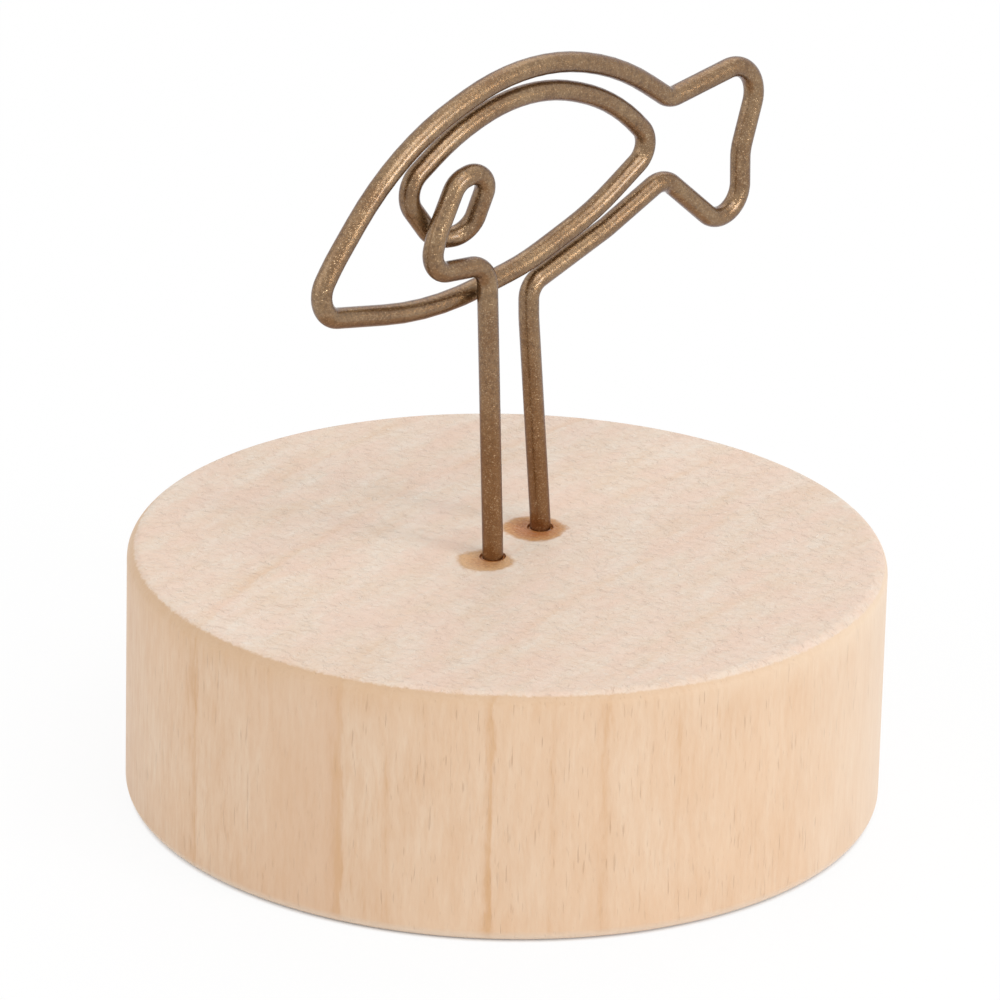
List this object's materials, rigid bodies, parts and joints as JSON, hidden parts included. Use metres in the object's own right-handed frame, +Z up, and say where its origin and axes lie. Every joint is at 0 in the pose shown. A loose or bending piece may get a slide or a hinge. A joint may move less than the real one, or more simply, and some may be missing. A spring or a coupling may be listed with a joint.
{
  "type": "memo clip holder",
  "caption": "Desk memo holder: a turned wooden disc base carrying a fish-shaped clip bent from one length of lacquered wire.",
  "frame": {"origin": "centre of the base's underside, on the surface that it stands on", "axes": "+Z up; +X along the fish towards its tail; -Y towards the user, the side where the front leg passes over the fish"},
  "size_m": [0.06, 0.06, 0.0602],
  "materials": {
    "beech_wood": "fine-sanded pale hardwood, bare or thinly oiled, end grain on the top face",
    "bronze_lacquer": "satin bronze lacquer with fine metal flake, on steel wire",
    "cured_glue": "cured amber wood glue"
  },
  "bodies": {
    "root": {"wood_base": "beech_wood", "wire_clip": "bronze_lacquer", "glue_front": "cured_glue", "glue_rear": "cured_glue"}
  },
  "joints": []
}
